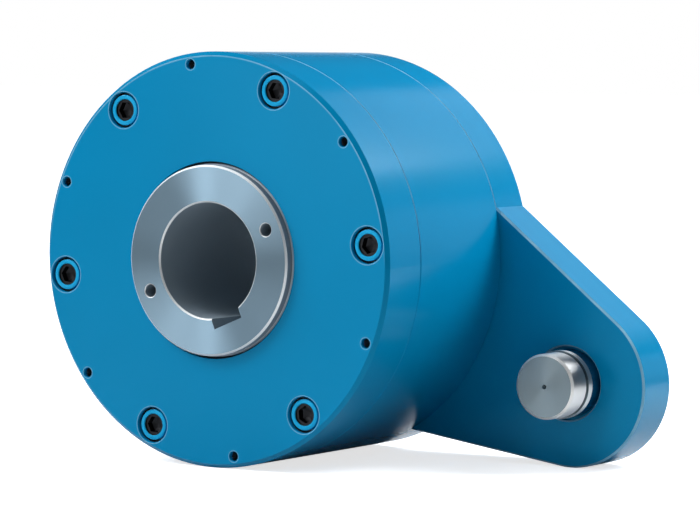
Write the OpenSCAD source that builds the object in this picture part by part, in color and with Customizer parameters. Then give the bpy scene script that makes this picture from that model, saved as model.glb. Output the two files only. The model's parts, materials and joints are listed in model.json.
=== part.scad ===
// Sprag backstop for a shaft end. A keyed inner ring turns freely one way in a round housing and
// is locked the other way by sprags, and a torque arm with a reaction pin holds the housing.
// Millimetres. The shaft axis lies along Y, the front faces -Y and +Z is up. The origin is the
// middle of the bore. Clock angles are seen from the front, in degrees clockwise from up.

/* [Bore and inner ring] */
// Diameter of the shaft bore
bore_d = 60; // [52:1:64]
// Width of the keyway
key_w = 18; // [14:1:20]
// Depth of the keyway beyond the bore
key_rise = 4.4; // [3.4:0.1:4.9]
// Clock angle of the keyway
key_clock = 157.4; // [150:0.1:165]
// Diameter of the journals that carry the bearings and the seal lips
journal_d = 100; // [97:1:102]
// Height of the sprag track above the journals
track_rise = 5; // [4:0.5:6]
// How far the inner ring stands out of the housing at each end
ring_proud = 4.2; // [2:0.1:8]
// Radial step from the journals down to the inner ring's ends
ring_step = 0.75; // [0.4:0.05:1]
// Chamfer on the inner ring's outer corners
ring_chamfer = 1; // [0.5:0.1:2]
// Chamfer at the bore's mouths
bore_chamfer = 0.8; // [0.3:0.1:1.5]
// Hole circle of the two tapped holes in the inner ring's front face
ring_tap_pcd = 80; // [77:0.5:84]
// Core diameter of those tapped holes
ring_tap_d = 6.8; // [5:0.1:8]
// Depth of those tapped holes
ring_tap_depth = 16; // [10:1:24]
// Clock angle of the first of them
ring_tap_clock = 64.7; // [45:0.1:90]

/* [Housing] */
// Diameter of the housing
housing_d = 215; // [210:1:225]
// Thickness of the front cover's flange
cover_w = 31; // [26:1:34]
// Length of the outer ring between the two seams
case_w = 80; // [76:1:110]
// Chamfer on the front cover's rim
front_chamfer = 2; // [0.5:0.5:3]
// Chamfer on each side of a seam
seam_chamfer = 0.5; // [0.2:0.1:1]
// Thickness of the lip in front of each seal
lip_w = 3; // [2:0.5:5]
// Radial gap between the journal and the lip
lip_gap = 1; // [0.6:0.1:2.5]
// Wall of the spigots that centre the cover and the arm in the outer ring
spigot_wall = 6.6; // [6:0.1:8]
// Axial gap behind each spigot, so that the outer ring clamps the bearing race
spigot_relief = 0.3; // [0.1:0.1:0.6]

/* [Torque arm] */
// Thickness of the torque arm
arm_w = 29; // [24:1:32]
// Distance from the shaft axis to the reaction pin
arm_reach = 161; // [150:1:185]
// How far the centre of the arm's round end lies beyond the pin
arm_over = 2.5; // [0:0.5:5]
// Radius of the arm's round end
arm_end_r = 43; // [38:0.5:50]
// Half angle at the shaft axis between the arm's two roots on the housing
arm_root_half = 37.6; // [32:0.1:42]
// How far the arm's sides are carried on inside the round plate
arm_sink = 10; // [6:1:15]
// Chamfer round the arm's edges
arm_chamfer = 1; // [0.5:0.1:2]

/* [Reaction pin] */
// Diameter of the reaction pin
pin_d = 34; // [30:1:36]
// How far the pin stands out of the arm
pin_out = 24; // [18:1:40]
// Chamfer at the pin's ends
pin_chamfer = 1.2; // [0.5:0.1:3]
// Diameter and depth of the centre hole in the pin's end face, as a lathe drills it
centre_d = 2.5; // [1.6:0.1:4]
// Radial height of the collar beside the arm
collar_rise = 0.8; // [0.6:0.1:3]
// Width of the collar in front of the arm
collar_w = 8.8; // [3:0.1:12]
// Width of the relief groove beside the collar
relief_w = 1.2; // [0.8:0.1:2]
// Depth of the relief groove
relief_depth = 0.8; // [0.4:0.1:1.2]
// Radial gap round the collar, where it enters the arm
seat_rise = 1.6; // [1:0.1:3]
// Depth of that gap below the arm's face
seat_depth = 4; // [2:0.5:8]

/* [Housing screws and dowels] */
// Number of screws at each end
screw_count = 6; // [4:2:8]
// Share of the free wall beside the screws that lies between their counterbores and the rim
rim_share = 0.25; // [0.2:0.01:0.5]
// Thread diameter of the screws
screw_d = 10; // [8:1:10]
// Length of the screws under the head
screw_len = 35; // [30:1:40]
// Diameter of the screw heads
head_d = 16; // [13:0.5:16.5]
// Height of the screw heads
head_h = 10; // [8:0.5:10]
// Chamfer round the heads
head_chamfer = 0.5; // [0.2:0.1:1]
// Width across flats of the hexagon sockets
socket_af = 8; // [6:1:10]
// Depth of the hexagon sockets
socket_depth = 5; // [3:0.5:6]
// Diameter of the round countersinks at the sockets' mouths
socket_mouth_d = 11.4; // [10:0.1:12]
// Radial gap between a head and its counterbore
head_gap = 1.3; // [0.5:0.1:1.4]
// How far the heads lie below the face
head_sink = 1; // [0.5:0.1:2]
// Chamfer at the mouths of the counterbores, the tapped holes and the pin's seat
mouth_chamfer = 0.4; // [0.2:0.1:0.6]
// Radial gap between a screw and the hole in the clamped plate
shank_gap = 0.5; // [0.3:0.1:1]
// How much deeper the tapped holes are than the screws that fill them
drill_over = 4; // [2:0.5:6]
// Diameter of the dowels between the outer ring and the arm
dowel_d = 10; // [8:1:12]
// Length of the dowels
dowel_len = 28; // [20:1:32]

/* [Small tapped holes in the front cover] */
// Core diameter of the holes
aux_d = 5; // [4:0.1:6]
// Depth of the holes
aux_depth = 12; // [8:1:18]
// Distance from their circle to the housing's rim
aux_inset = 5.8; // [5.6:0.1:7]
// Angle from a screw back to the hole before it
aux_lag = 31.3; // [25:0.1:35]

/* [Bearings] */
// Outside diameter of the bearings
bearing_od = 150; // [147:1:153]
// Width of the bearings
bearing_w = 24; // [21:1:26]
// Diameter of the balls as a share of the bearings' section height
ball_share = 0.64; // [0.56:0.01:0.66]
// Way from ball to ball along their circle as a share of the balls' diameter
ball_step_share = 1.75; // [1.6:0.05:2.2]
// Chamfer on the races' seating corners
race_chamfer = 1; // [0.6:0.1:1.5]
// Depth of the ball grooves as a share of the balls' diameter
groove_share = 0.19; // [0.16:0.01:0.25]
// Radial thickness of the ball cage as a share of the balls' diameter
ball_cage_share = 0.36; // [0.25:0.01:0.42]
// Thickness of the ball cage behind its pockets as a share of the race's width left there
ball_cage_web_share = 0.5; // [0.3:0.05:0.7]
// Thickness of the shim in front of the front bearing
shim_w = 1; // [0.5:0.1:2]

/* [Seals and rings] */
// Outside diameter of the shaft seals
seal_od = 125; // [120:1:130]
// Width of the shaft seals
seal_w = 12; // [11:0.5:13]
// Section diameter of the seals' garter springs
garter_d = 2.2; // [1.6:0.1:2.6]
// Section diameter of the O-rings on the spigots
oring_d = 3; // [2:0.1:3.4]
// Width of the O-rings' grooves
oring_room = 3.6; // [3.5:0.1:4.2]
// Thickness of the retaining rings
clip_w = 3; // [2:0.1:3.4]
// Depth of the retaining rings' grooves
clip_depth = 1.7; // [1:0.1:2]
// Radial width of the retaining rings
clip_b = 8; // [6:0.5:9]
// How far the eyes of the retaining rings stand out beyond the rest of their rim
eye_rise = 1; // [0.5:0.1:1.5]
// Free space between a retaining ring and the seal
clip_float = 1; // [0.5:0.1:2]

/* [Sprags and cage] */
// Number of sprags
sprag_count = 24; // [16:1:26]
// Radius of the two cams of a sprag
cam_r = 4.8; // [4.4:0.1:5]
// Radial distance from a sprag's middle to the centre of each cam
cam_rise = 3.1; // [2.8:0.1:3.3]
// Sideways distance from a sprag's middle to the centre of each cam
cam_lead = 1.2; // [0.8:0.1:1.4]
// Height of the notch floors above the centres of the outer cams
notch_rise = 0.5; // [0.3:0.1:0.7]
// Thickness of the cage's side rings
cage_side_w = 2.5; // [2:0.1:3.5]
// Radial thickness of the cage's bars
cage_bar_t = 4; // [3:0.1:5]
// Depth of the cage's side rings inside the outer track
cage_side_gap = 2.4; // [1.5:0.1:3]
// Section diameter of the energising springs
spring_d = 2.5; // [1.8:0.1:2.8]

/* [Clearances] */
// Radial gap between pieces that are fitted together and don't move
seat_gap = 0.03; // [0.02:0.01:0.06]
// Radial gap between a sprag and each of its tracks at rest
sprag_play = 0.1; // [0.08:0.01:0.15]
// Gap between a ball and its grooves
ball_play = 0.15; // [0.1:0.01:0.2]
// Gap between a ball and its pocket in the ball cage
pocket_play = 0.25; // [0.2:0.01:0.4]
// Radial gap under a seal's lips
lip_play = 0.1; // [0.05:0.01:0.15]
// Gap between the sprag cage and the pieces at its ends
cage_play = 0.5; // [0.3:0.1:0.8]
// Gap between a sprag and the cage at each end
sprag_end_play = 0.3; // [0.2:0.1:0.5]
// Sideways gap between a sprag and the cage's bars
window_play = 0.8; // [0.6:0.1:1]
// Radial gap between an energising spring and the floors of the sprags' notches
notch_play = 0.75; // [0.7:0.05:0.9]
// Gap between an energising spring and each side of a notch
notch_side_play = 0.35; // [0.2:0.05:0.6]

/* [Hidden] */
$fn = 96;

paint = [0.04, 0.47, 0.70];
ground_steel = [0.66, 0.70, 0.73];
turned_steel = [0.80, 0.81, 0.82];
dark_steel = [0.30, 0.32, 0.35];
bearing_steel = [0.74, 0.76, 0.78];
rubber = [0.07, 0.07, 0.08];
polyamide = [0.86, 0.83, 0.72];
cage_steel = [0.50, 0.51, 0.53];

// Overshoot of a cutting solid past the face that it cuts
cut = 1;

// Radii about the shaft axis
bore_r = bore_d / 2;
journal_r = journal_d / 2;
ring_end_r = journal_r - ring_step;
track_r = journal_r + track_rise;
housing_r = housing_d / 2;
lip_r = journal_r + lip_gap;
seal_r = seal_od / 2;
race_r = bearing_od / 2;
spigot_r = race_r + spigot_wall;
aux_r = housing_r - aux_inset;

// The screws stand in the wall between the spigot and the rim
counterbore_r = head_d / 2 + head_gap;
shank_hole_r = screw_d / 2 + shank_gap;
free_wall = housing_r - spigot_r - counterbore_r - shank_hole_r;
screw_r = housing_r - counterbore_r - rim_share * free_wall;

// Axial places, as depths below the outer face of the cover or of the arm
seal_end = lip_w + seal_w;
race_start = seal_end + clip_float + clip_w;
race_end = race_start + bearing_w;
race_mid = race_start + bearing_w / 2;
spigot_end = race_end - spigot_relief;
housing_w = arm_w + case_w + cover_w;

// Bearing
pitch_r = (journal_r + race_r) / 2;
ball_r = ball_share * (race_r - journal_r) / 2;
ball_count = floor(PI * pitch_r / (ball_r * ball_step_share));
groove_r = ball_r + ball_play;
groove_depth = groove_share * 2 * ball_r;
ball_cage_t = ball_cage_share * 2 * ball_r;
ball_cage_web = ball_cage_web_share * (bearing_w / 2 - ball_r - pocket_play);
inner_race_r = pitch_r - groove_r + groove_depth;
outer_race_r = pitch_r + groove_r - groove_depth;
room_r = outer_race_r + (race_r - outer_race_r) / 4;

// Sprags: each stands between the tracks with its cams sprag_play short of both
pivot_r = cam_rise + sqrt(pow(track_r + sprag_play + cam_r, 2) - pow(cam_lead, 2));
outer_track_r = norm([pivot_r + cam_rise, cam_lead]) + cam_r + sprag_play;
cage_start = race_end + cage_play;
sprag_start = cage_start + cage_side_w + sprag_end_play;
sprag_len = housing_w - 2 * sprag_start;
sprag_pitch = 360 / sprag_count;
notch_w = spring_d + 2 * notch_side_play;
notch_floor = cam_rise + notch_rise;
spring_r = pivot_r + notch_floor + notch_play + spring_d / 2;

// The arm hangs so that its round end stands level with the bottom of the housing
arm_end = arm_reach + arm_over;
arm_clock = 90 + asin((housing_r - arm_end_r) / arm_end);
pin_r = pin_d / 2;
collar_r = pin_r + collar_rise;
seat_r = collar_r + seat_rise;

// The screws straddle the arm, half a pitch each side of it
screw_pitch = 360 / screw_count;
screw_clock = arm_clock - screw_pitch / 2;
counterbore_depth = head_h + head_sink;

function sprag_name(i) = str("sprag_", i < 10 ? "0" : "", i);

// Working frame to model frame: the working frame's Z runs along the shaft, from the rear face
// of the housing to the front, and its Y points up
module on_shaft() {
    translate([0, housing_w / 2, 0]) rotate([90, 0, 0]) children();
}

// The rear end as it is, or the front end as its mirror image: Z is the depth below the outer face
module at_end(front) {
    on_shaft()
        if (front) translate([0, 0, housing_w]) mirror([0, 0, 1]) children();
        else children();
}

// A place at a clock angle and a radius, with the local Y axis pointing outwards
module at_clock(clock, r) {
    rotate([0, 0, -clock]) translate([0, r, 0]) children();
}

// Copies evenly spaced round the shaft, starting at a clock angle
module ring_of(count, start, r) {
    for (i = [0:count - 1]) at_clock(start + i * 360 / count, r) children();
}

// A round bar section revolved round the shaft
module torus(r, section_d, depth) {
    translate([0, 0, depth]) rotate_extrude() translate([r, 0]) circle(d = section_d);
}

// Housing

// Round flange with its spigot, before it is bored
module plate_blank(flange_w, rim_chamfer) {
    rotate_extrude() difference() {
        polygon([
            [0, 0], [housing_r - rim_chamfer, 0], [housing_r, rim_chamfer],
            [housing_r, flange_w - seam_chamfer], [housing_r - seam_chamfer, flange_w],
            [spigot_r, flange_w], [spigot_r, spigot_end - seam_chamfer],
            [spigot_r - seam_chamfer, spigot_end], [0, spigot_end]]);
        translate([spigot_r - oring_d - seat_gap, oring_depth(flange_w) - oring_room / 2])
            square([oring_d + cut, oring_room]);
    }
}

// Middle of the spigot, where its O-ring lies
function oring_depth(flange_w) = (flange_w + spigot_end) / 2;

// Stepped hollow for the seal, the retaining ring and the bearing
module plate_hollow(shoulder) {
    rotate_extrude() polygon([
        [0, -cut], [lip_r, -cut], [lip_r, lip_w],
        [seal_r + seat_gap, lip_w], [seal_r + seat_gap, seal_end],
        [room_r, seal_end], [room_r, shoulder],
        [race_r + seat_gap, shoulder], [race_r + seat_gap, spigot_end + cut],
        [0, spigot_end + cut]]);
}

// Blind hole from the outer face inwards, with a chamfered mouth
module bored(r, depth) {
    rotate_extrude() polygon([
        [0, -cut], [r + mouth_chamfer, -cut], [r + mouth_chamfer, 0], [r, mouth_chamfer],
        [r, depth], [0, depth]]);
}

// Counterbored screw holes through a flange
module screw_holes(flange_w) {
    ring_of(screw_count, screw_clock, screw_r) {
        bored(counterbore_r, counterbore_depth);
        cylinder(r = shank_hole_r, h = flange_w + cut);
    }
}

module front_cover() {
    color(paint) at_end(true) difference() {
        plate_blank(cover_w, front_chamfer);
        plate_hollow(race_start - shim_w);
        screw_holes(cover_w);
        ring_of(screw_count, screw_clock - aux_lag, aux_r) bored(aux_d / 2, aux_depth);
    }
}

module outer_ring() {
    bore_wall_r = spigot_r + seat_gap;
    rear = arm_w;
    front = housing_w - cover_w;
    color(paint) difference() {
        on_shaft() rotate_extrude() polygon([
            [bore_wall_r, rear], [housing_r - seam_chamfer, rear],
            [housing_r, rear + seam_chamfer], [housing_r, front - seam_chamfer],
            [housing_r - seam_chamfer, front], [bore_wall_r, front],
            [bore_wall_r, housing_w - race_end], [outer_track_r, housing_w - race_end],
            [outer_track_r, race_end], [bore_wall_r, race_end]]);
        at_end(true) tapped_holes(cover_w);
        at_end(false) tapped_holes(arm_w);
        at_end(false) dowel_row(dowel_len / 2 + cut);
    }
}

// Holes for the screws that pass a flange, drilled a little deeper than the screws reach
module tapped_holes(flange_w) {
    bottom = counterbore_depth + screw_len + drill_over;
    ring_of(screw_count, screw_clock, screw_r)
        translate([0, 0, flange_w - cut])
            cylinder(r = screw_d / 2 + seat_gap, h = bottom - flange_w + cut);
}

// Side lines of the arm run from the housing's rim to the round end. They cut a hair into it, so
// that they meet it along clean edges. In the arm's own frame Y points from the shaft to the pin.
hair = 0.02;
root = housing_r * [sin(arm_root_half), cos(arm_root_half)];
root_to_end = [0, arm_end] - root;
side_angle = atan2(-root_to_end.x, root_to_end.y) - asin((arm_end_r - hair) / norm(root_to_end));
side_along = [-sin(side_angle), cos(side_angle)];
side_normal = [cos(side_angle), sin(side_angle)];

// Flat outline of the tapered arm, drawn in by an inset, its root sunk into the round plate
module arm_outline(inset) {
    tip = [0, arm_end] + (arm_end_r - hair - inset) * side_normal;
    base = root - inset * side_normal - arm_sink * side_along;
    polygon([base, tip, [-tip.x, tip.y], [-base.x, base.y]]);
}

module arm_blank() {
    plate_blank(arm_w, arm_chamfer);
    rotate([0, 0, -arm_clock]) {
        hull() {
            linear_extrude(arm_w) arm_outline(arm_chamfer);
            translate([0, 0, arm_chamfer]) linear_extrude(arm_w - 2 * arm_chamfer) arm_outline(0);
        }
        translate([0, arm_end, 0]) rotate_extrude() polygon([
            [0, 0], [arm_end_r - arm_chamfer, 0], [arm_end_r, arm_chamfer],
            [arm_end_r, arm_w - arm_chamfer], [arm_end_r - arm_chamfer, arm_w], [0, arm_w]]);
    }
}

module torque_arm() {
    color(paint) at_end(false) difference() {
        arm_blank();
        plate_hollow(race_start);
        screw_holes(arm_w);
        dowel_row(dowel_len / 2 + cut);
        at_clock(arm_clock, arm_reach) rotate_extrude() polygon([
            [0, -cut], [pin_r + seat_gap, -cut], [pin_r + seat_gap, arm_w - seat_depth],
            [seat_r, arm_w - seat_depth], [seat_r, arm_w - 2 * mouth_chamfer],
            [seat_r + 2 * mouth_chamfer, arm_w], [seat_r + 2 * mouth_chamfer, arm_w + cut],
            [0, arm_w + cut]]);
    }
}

module reaction_pin() {
    face = arm_w + pin_out;
    collar_front = arm_w + collar_w;
    collar_back = arm_w - seat_depth + seat_gap;
    color(turned_steel) at_end(false) at_clock(arm_clock, arm_reach) rotate_extrude() polygon([
        [0, 0], [pin_r - pin_chamfer, 0], [pin_r, pin_chamfer], [pin_r, collar_back],
        [collar_r, collar_back], [collar_r, collar_front],
        [pin_r - relief_depth, collar_front], [pin_r - relief_depth, collar_front + relief_w],
        [pin_r, collar_front + relief_w], [pin_r, face - pin_chamfer],
        [pin_r - pin_chamfer, face], [centre_d / 2, face], [0, face - centre_d]]);
}

// Fasteners

// Socket head cap screw: its head lies head_sink below the outer face
module cap_screw() {
    end = counterbore_depth + screw_len;
    difference() {
        rotate_extrude() polygon([
            [0, head_sink], [head_d / 2 - head_chamfer, head_sink],
            [head_d / 2, head_sink + head_chamfer], [head_d / 2, counterbore_depth],
            [screw_d / 2, counterbore_depth], [screw_d / 2, end - screw_d / 10],
            [screw_d * 0.4, end], [0, end]]);
        translate([0, 0, head_sink]) {
            cylinder(d = socket_af / cos(30), h = socket_depth, $fn = 6);
            bored(socket_mouth_d / 2 - mouth_chamfer, socket_depth / 4);
        }
    }
}

module screw_set(front) {
    color(paint) at_end(front) ring_of(screw_count, screw_clock, screw_r) cap_screw();
}

// Dowels, or the holes for them: one in line with the arm and one opposite
module dowel_row(half_len, gap = seat_gap) {
    for (side = [0, 180]) at_clock(arm_clock + side, screw_r)
        translate([0, 0, arm_w - half_len]) cylinder(r = dowel_d / 2 + gap, h = 2 * half_len);
}

module arm_dowels() {
    color(dark_steel) at_end(false) dowel_row(dowel_len / 2, 0);
}

// Bearings

module outer_race(front) {
    color(bearing_steel) at_end(front) rotate_extrude() difference() {
        polygon([
            [outer_race_r, race_start], [race_r - race_chamfer, race_start],
            [race_r, race_start + race_chamfer], [race_r, race_end - race_chamfer],
            [race_r - race_chamfer, race_end], [outer_race_r, race_end]]);
        translate([pitch_r, race_mid]) circle(r = groove_r);
    }
}

module inner_race(front) {
    seat = journal_r + seat_gap;
    color(bearing_steel) at_end(front) rotate_extrude() difference() {
        polygon([
            [seat + race_chamfer, race_start], [inner_race_r, race_start],
            [inner_race_r, race_end], [seat + race_chamfer, race_end],
            [seat, race_end - race_chamfer], [seat, race_start + race_chamfer]]);
        translate([pitch_r, race_mid]) circle(r = groove_r);
    }
}

module balls(front) {
    color(turned_steel) at_end(front) ring_of(ball_count, 0, pitch_r)
        translate([0, 0, race_mid]) sphere(r = ball_r);
}

// Crown cage: a ring with round pockets that are open towards the outer face
module ball_cage(front) {
    pocket_r = ball_r + pocket_play;
    color(polyamide) at_end(front) difference() {
        rotate_extrude() translate([pitch_r - ball_cage_t / 2, race_mid - pocket_r * 0.6])
            square([ball_cage_t, pocket_r * 1.6 + ball_cage_web]);
        ring_of(ball_count, 0, pitch_r) translate([0, 0, race_mid]) sphere(r = pocket_r);
    }
}

module bearing_shim() {
    color(dark_steel) at_end(true) translate([0, 0, race_start - shim_w]) linear_extrude(shim_w)
        difference() {
            circle(r = race_r - race_chamfer);
            circle(r = room_r);
        }
}

// Seals and rings

// Lip seal, with a dust lip in front and a groove for its spring on the back of the main lip
module seal(front) {
    tip = journal_r + lip_play;
    skin = seal_w / 5;
    color(rubber) at_end(front) rotate_extrude() difference() {
        polygon([
            [seal_r, lip_w], [seal_r, seal_end], [seal_r - skin, seal_end],
            [seal_r - skin, lip_w + skin], [tip + skin * 1.7, lip_w + skin],
            [tip + skin * 1.7, lip_w + seal_w * 0.75], [tip + skin * 0.6, lip_w + seal_w * 0.75],
            [tip, lip_w + seal_w * 0.6], [tip + skin * 0.8, lip_w + seal_w * 0.3],
            [tip + skin * 0.8, lip_w + skin * 0.6], [tip, lip_w + skin * 0.2],
            [tip + skin * 0.4, lip_w]]);
        translate([garter_r, garter_depth]) circle(d = garter_d + 2 * seat_gap);
    }
}

garter_depth = lip_w + seal_w * 0.6;
garter_r = journal_r + lip_play + seal_w / 5 * 1.7 + garter_d / 4;

module seal_spring(front) {
    color(dark_steel) at_end(front) torus(garter_r, garter_d, garter_depth);
}

module o_ring(front) {
    color(rubber) at_end(front)
        torus(spigot_r - oring_d / 2, oring_d, oring_depth(front ? cover_w : arm_w));
}

// Retaining ring in its journal groove, open at the top between two eyes
module retaining_ring(front) {
    seat = journal_r - clip_depth + seat_gap;
    eye_r = (clip_b + eye_rise) / 2;
    eye_angle = 8;
    color(dark_steel) at_end(front) translate([0, 0, race_start - clip_w]) linear_extrude(clip_w)
        difference() {
            union() {
                circle(r = seat + clip_b);
                for (side = [-1, 1])
                    rotate(side * eye_angle) translate([0, seat + eye_r]) circle(r = eye_r);
            }
            circle(r = seat);
            for (side = [-1, 1])
                rotate(side * eye_angle) translate([0, seat + eye_r]) circle(r = eye_r / 3);
            translate([-eye_r, 0]) square([2 * eye_r, race_r]);
        }
}

// Rotor

// Half of the inner ring's outline, from the bore outwards at one end, as radius and depth
ring_end_outline = [
    [bore_r, -ring_proud + bore_chamfer], [bore_r + bore_chamfer, -ring_proud],
    [ring_end_r - ring_chamfer, -ring_proud], [ring_end_r, -ring_proud + ring_chamfer],
    [ring_end_r, lip_w / 3], [journal_r, lip_w / 3 + ring_step],
    [journal_r, race_start - clip_w - seat_gap],
    [journal_r - clip_depth, race_start - clip_w - seat_gap],
    [journal_r - clip_depth, race_start + seat_gap], [journal_r, race_start + seat_gap],
    [journal_r, race_end], [track_r, race_end]];

module inner_ring() {
    last = len(ring_end_outline) - 1;
    front_outline = [for (i = [last:-1:0])
        [ring_end_outline[i].x, housing_w - ring_end_outline[i].y]];
    color(ground_steel) on_shaft() difference() {
        rotate_extrude() polygon(concat(ring_end_outline, front_outline));
        at_clock(key_clock, 0) translate([-key_w / 2, 0, -ring_proud - cut])
            cube([key_w, bore_r + key_rise, housing_w + 2 * (ring_proud + cut)]);
        ring_of(2, ring_tap_clock, ring_tap_pcd / 2)
            translate([0, 0, housing_w + ring_proud]) mirror([0, 0, 1])
                bored(ring_tap_d / 2, ring_tap_depth);
    }
}

// Squirrel cage: two side rings on the inner track, joined by a bar between each pair of sprags
module sprag_cage() {
    side_r = outer_track_r - cage_side_gap;
    bar_half = pivot_r * tan(sprag_pitch / 2) - (cam_lead + cam_r + window_play);
    bar_start = cage_start + cage_side_w / 2;
    color(cage_steel) {
        for (front = [true, false]) at_end(front) translate([0, 0, cage_start])
            linear_extrude(cage_side_w) difference() {
                circle(r = side_r);
                circle(r = track_r + sprag_play);
            }
        on_shaft() ring_of(sprag_count, sprag_pitch / 2, pivot_r)
            translate([-bar_half, -cage_bar_t / 2, bar_start])
                cube([2 * bar_half, cage_bar_t, housing_w - 2 * bar_start]);
    }
}

// Sprag: two cams side by side make its waist, and a notch at each end clears the spring
module sprag(i) {
    color(dark_steel) on_shaft() at_clock((i - 1) * sprag_pitch, pivot_r)
        translate([0, 0, sprag_start]) difference() {
            linear_extrude(sprag_len) {
                translate([cam_lead, -cam_rise]) circle(r = cam_r);
                translate([-cam_lead, cam_rise]) circle(r = cam_r);
            }
            for (start = [-cut, sprag_len - notch_w])
                translate([-2 * cam_r, notch_floor, start])
                    cube([4 * cam_r, 2 * cam_r, notch_w + cut]);
        }
}

module energising_spring(front) {
    color(turned_steel) at_end(front) torus(spring_r, spring_d, sprag_start + notch_w / 2);
}

front_cover();
outer_ring();
torque_arm();
screw_set(true);  // front_cover_screws
screw_set(false);  // torque_arm_screws
arm_dowels();
reaction_pin();
seal(true);  // front_seal
seal(false);  // rear_seal
seal_spring(true);  // front_seal_spring
seal_spring(false);  // rear_seal_spring
o_ring(true);  // front_o_ring
o_ring(false);  // rear_o_ring
outer_race(true);  // front_bearing_outer_race
outer_race(false);  // rear_bearing_outer_race
bearing_shim();
inner_ring();
inner_race(true);  // front_bearing_inner_race
inner_race(false);  // rear_bearing_inner_race
retaining_ring(true);  // front_retaining_ring
retaining_ring(false);  // rear_retaining_ring
sprag_cage();
energising_spring(true);  // front_energising_spring
energising_spring(false);  // rear_energising_spring
balls(true);  // front_balls
ball_cage(true);  // front_ball_cage
balls(false);  // rear_balls
ball_cage(false);  // rear_ball_cage
for (i = [1:sprag_count]) sprag(i);
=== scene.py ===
"""Finishes, screws, coil springs and a studio for a sprag backstop clutch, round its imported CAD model.

Metres, in the frame's own axes: the shaft runs along Y, the front faces -Y and +Z is up.
Clock angles are seen from the front, in degrees clockwise from up.
"""

import json
import logging
import math
from abc import ABC, abstractmethod
from dataclasses import dataclass, field
from enum import Enum

import bmesh
import bpy
from bpy.types import ID, Material, Node, NodeSocket, NodeTree, Object, World
from mathutils import Matrix, Vector

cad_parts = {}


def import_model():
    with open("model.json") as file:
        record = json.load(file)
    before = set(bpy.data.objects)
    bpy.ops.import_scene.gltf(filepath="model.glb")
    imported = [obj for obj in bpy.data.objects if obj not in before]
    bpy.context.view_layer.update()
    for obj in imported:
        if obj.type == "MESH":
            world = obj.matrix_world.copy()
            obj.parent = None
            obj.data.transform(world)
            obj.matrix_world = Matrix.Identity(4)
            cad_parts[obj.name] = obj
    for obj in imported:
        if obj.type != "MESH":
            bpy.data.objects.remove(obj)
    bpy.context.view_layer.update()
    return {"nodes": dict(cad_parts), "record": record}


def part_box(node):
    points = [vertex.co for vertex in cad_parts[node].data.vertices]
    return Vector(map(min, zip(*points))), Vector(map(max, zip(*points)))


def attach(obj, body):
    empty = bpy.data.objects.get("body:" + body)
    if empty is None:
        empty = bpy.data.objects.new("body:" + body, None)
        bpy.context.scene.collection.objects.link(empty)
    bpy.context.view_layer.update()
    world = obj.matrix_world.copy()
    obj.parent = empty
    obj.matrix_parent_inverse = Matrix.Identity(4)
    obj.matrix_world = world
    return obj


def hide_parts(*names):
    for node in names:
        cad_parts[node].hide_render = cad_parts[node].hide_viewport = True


LOG = logging.getLogger("backstop")
MM = 0.001
UM = 1e-6

# How far a surface leans towards the shaft's ends, from 0 to 1, where broken edges and end faces begin.
EDGE_LEAN = 0.3
SIDE_LEAN = 0.7
FACE_LEAN = 0.95

# The face attribute that tells how far a screw's faces are painted.
PAINTED = "painted"

# The kinds of node that come most often.
MATH = "ShaderNodeMath"
VECTOR_MATH = "ShaderNodeVectorMath"
MAP_RANGE = "ShaderNodeMapRange"
PRINCIPLED = "ShaderNodeBsdfPrincipled"
MIX = "ShaderNodeMix"
MIX_SHADER = "ShaderNodeMixShader"
COMBINE = "ShaderNodeCombineXYZ"
SEPARATE = "ShaderNodeSeparateXYZ"
BUMP = "ShaderNodeBump"

Colour = tuple[float, float, float, float]

# What can feed a node's input: an output, or a node for its first output.
Feed = Node | NodeSocket


class Slot(Enum):
    """Two material slots of the record, enamel and spring steel, which nothing in the script uses."""

    ENAMEL = "enamel"
    SPRING_STEEL = "spring_steel"


class Facing(Enum):
    """Which end of the housing a piece looks out of, as the turn about Z that points it there."""

    FRONT = 0.0
    REAR = math.pi


def linear(colour: str) -> Colour:
    """Turns an sRGB hex colour to the linear one that shaders take.

    Args:
        colour: Six hex digits after a hash.

    Returns:
        Red, green, blue and a full alpha, each from 0 to 1.
    """
    parts = [int(colour[i:i + 2], 16) / 255 for i in (1, 3, 5)]
    red, green, blue = (c / 12.92 if c <= 0.04045 else ((c + 0.055) / 1.055) ** 2.4 for c in parts)
    return red, green, blue, 1.0


def add_node(tree: NodeTree, kind: str, inputs: dict[str | int, object] | None = None,
             **settings: object) -> Node:
    """Adds a node, sets its properties, and links or sets its inputs.

    Args:
        tree: The node tree that gets the node.
        kind: The node's type name.
        inputs: For an input's name, identifier or number, what feeds it or its value.
        settings: The node's properties.

    Returns:
        The new node.
    """
    node = tree.nodes.new(kind)
    for name, value in settings.items():
        setattr(node, name, value)
    by_identifier = {socket.identifier: socket for socket in node.inputs}
    for key, value in (inputs or {}).items():
        socket = by_identifier.get(key) or node.inputs[key]
        if isinstance(value, Node):
            value = value.outputs[0]
        if isinstance(value, NodeSocket):
            tree.links.new(value, socket)
        else:
            socket.default_value = value
    return node


def output(node: Node, identifier: str) -> NodeSocket:
    """Finds an output by its identifier, where several share a name."""
    return next(socket for socket in node.outputs if socket.identifier == identifier)


def empty_tree(owner: Material | World) -> NodeTree:
    """Switches on a material's or a world's nodes, and clears them.

    Args:
        owner: The material or the world.

    Returns:
        Its empty tree.
    """
    owner.use_nodes = True
    owner.node_tree.nodes.clear()
    return owner.node_tree


def put_in_scene(data: ID, name: str) -> Object:
    """Makes an object at the origin for a mesh, a lamp or a camera.

    Args:
        data: The mesh, the lamp or the camera.
        name: The object's name.

    Returns:
        The object.
    """
    piece = bpy.data.objects.new(name, data)
    bpy.context.scene.collection.objects.link(piece)
    return piece


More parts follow.
